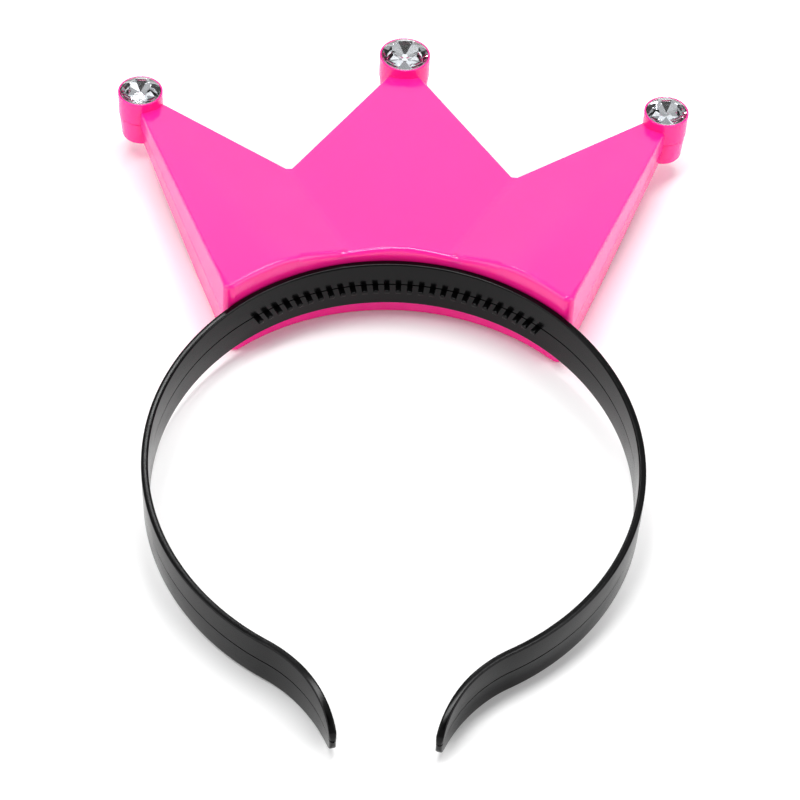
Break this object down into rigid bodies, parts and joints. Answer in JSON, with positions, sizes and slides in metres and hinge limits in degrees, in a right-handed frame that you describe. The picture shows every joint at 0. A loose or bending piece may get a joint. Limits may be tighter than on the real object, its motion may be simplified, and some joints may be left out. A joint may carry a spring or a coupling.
{
  "type": "mini crown headband",
  "caption": "Open plastic headband with gripping teeth inside, a hollow wedge-shaped three-point crown on top and a round cut stone in a cup at each point.",
  "frame": {"origin": "middle of the footprint, on the surface on which the headband lies on its back", "axes": "+Y runs from the open ends of the headband to the crown, +Z is the front face of the crown, +X is to the crown's right in the front view"},
  "size_m": [0.1704, 0.2495, 0.0292],
  "materials": {
    "black_plastic": "satin moulded black plastic",
    "pink_plastic": "glossy moulded opaque pink plastic",
    "clear_stone": "clear faceted stone with a silvered back"
  },
  "bodies": {
    "root": {"headband": "black_plastic", "crown_front": "pink_plastic", "crown_back": "pink_plastic", "stone_left": "clear_stone", "stone_centre": "clear_stone", "stone_right": "clear_stone"}
  },
  "joints": []
}
